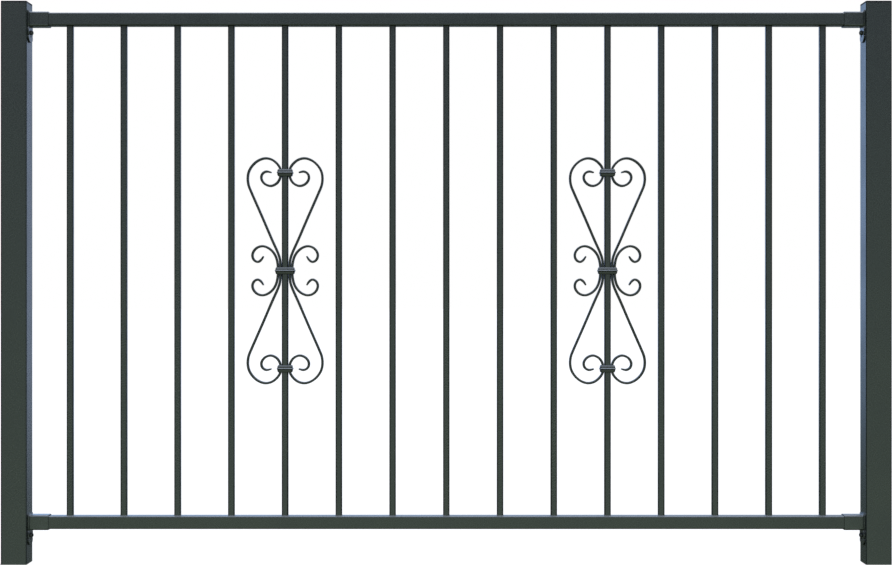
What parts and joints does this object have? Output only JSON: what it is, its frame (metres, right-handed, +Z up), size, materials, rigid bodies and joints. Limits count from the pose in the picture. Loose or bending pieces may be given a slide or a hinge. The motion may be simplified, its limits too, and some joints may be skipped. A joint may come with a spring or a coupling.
{
  "type": "garden fence bay",
  "caption": "Ornamental steel fence bay: square posts, rails in screwed sockets, upright square pickets and scroll ornaments with ribbed collars.",
  "frame": {"origin": "ground level, midway between the posts, on the fence line: the centre of the bounding box's bottom face", "axes": "+X along the fence towards the right-hand post as seen from the front, +Y to the back, +Z up"},
  "size_m": [2.06, 0.06, 1.304],
  "materials": {
    "green_coat": "fine-textured powder coat, dark grey-green, satin",
    "cap_black": "moulded black plastic, matt",
    "screw_coat": "coated screw head, satin, a little worn"
  },
  "bodies": {
    "root": {"left_post": "green_coat", "right_post": "green_coat", "left_post_cap": "cap_black", "right_post_cap": "cap_black", "top_rail": "green_coat", "bottom_rail": "green_coat", "picket_01": "green_coat", "picket_02": "green_coat", "picket_03": "green_coat", "picket_04": "green_coat", "picket_05": "green_coat", "picket_06": "green_coat", "picket_07": "green_coat", "picket_08": "green_coat", "picket_09": "green_coat", "picket_10": "green_coat", "picket_11": "green_coat", "picket_12": "green_coat", "picket_13": "green_coat", "picket_14": "green_coat", "picket_15": "green_coat", "rail_bracket_top_left": "green_coat", "rail_bracket_top_right": "green_coat", "rail_bracket_bottom_left": "green_coat", "rail_bracket_bottom_right": "green_coat", "post_screw_top_left": "screw_coat", "rail_screw_top_left": "screw_coat", "post_screw_top_right": "screw_coat", "rail_screw_top_right": "screw_coat", "post_screw_bottom_left": "screw_coat", "rail_screw_bottom_left": "screw_coat", "post_screw_bottom_right": "screw_coat", "rail_screw_bottom_right": "screw_coat", "left_long_scroll_left": "green_coat", "left_long_scroll_right": "green_coat", "left_short_scroll_left": "green_coat", "left_short_scroll_right": "green_coat", "left_collar_upper": "green_coat", "left_collar_centre": "green_coat", "left_collar_lower": "green_coat", "right_long_scroll_left": "green_coat", "right_long_scroll_right": "green_coat", "right_short_scroll_left": "green_coat", "right_short_scroll_right": "green_coat", "right_collar_upper": "green_coat", "right_collar_centre": "green_coat", "right_collar_lower": "green_coat"}
  },
  "joints": []
}
